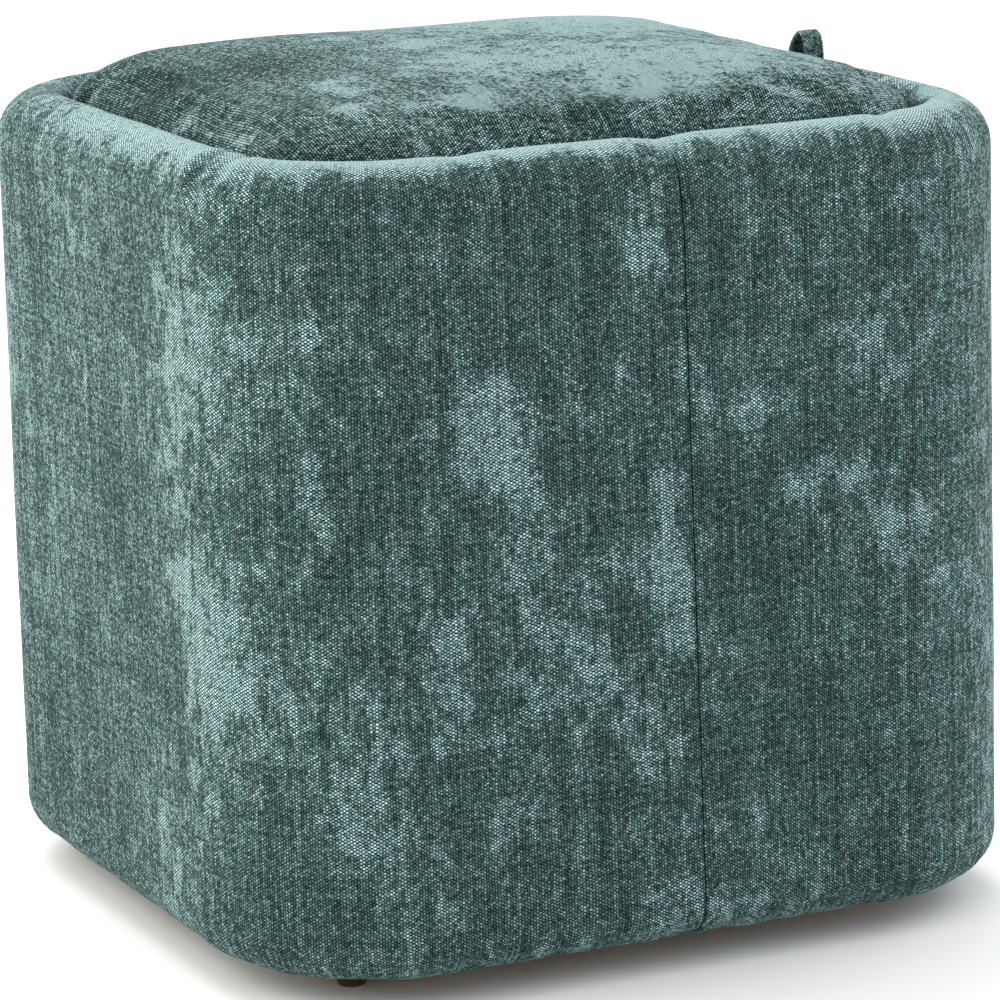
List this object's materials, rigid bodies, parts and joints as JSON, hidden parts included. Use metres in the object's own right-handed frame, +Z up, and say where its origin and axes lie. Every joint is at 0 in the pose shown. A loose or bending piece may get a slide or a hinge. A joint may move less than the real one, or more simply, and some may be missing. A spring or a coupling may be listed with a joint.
{
  "type": "cube pouf stool",
  "caption": "Cube pouf stool with a padded cloth-covered wall, a rolled rim, a crowned padded lid that lifts out of it by a small cloth loop, and low round glides.",
  "frame": {"origin": "on the floor under the middle of the stool", "axes": "+Z up; -Y out of the face with the upright seam; +X towards the side with the pull loop"},
  "size_m": [0.42, 0.415, 0.4234],
  "materials": {
    "cloth": "teal chenille in a small basket weave, with a velvety sheen and pale brushed patches",
    "box_board": "plain unvarnished plywood",
    "glide": "dark brown, satin"
  },
  "bodies": {
    "tub": {"side_cover_left": "cloth", "side_cover_right": "cloth", "storage_box": "box_board", "foot_front_left": "glide", "foot_front_right": "glide", "foot_back_left": "glide", "foot_back_right": "glide"},
    "lid": {"lid_cushion": "cloth", "pull_loop": "cloth"}
  },
  "joints": [
    {"name": "lid_lift", "type": "slide", "parent": "tub", "child": "lid", "axis": [0, 0, 1], "range_m": [0, 0.15]}
  ]
}
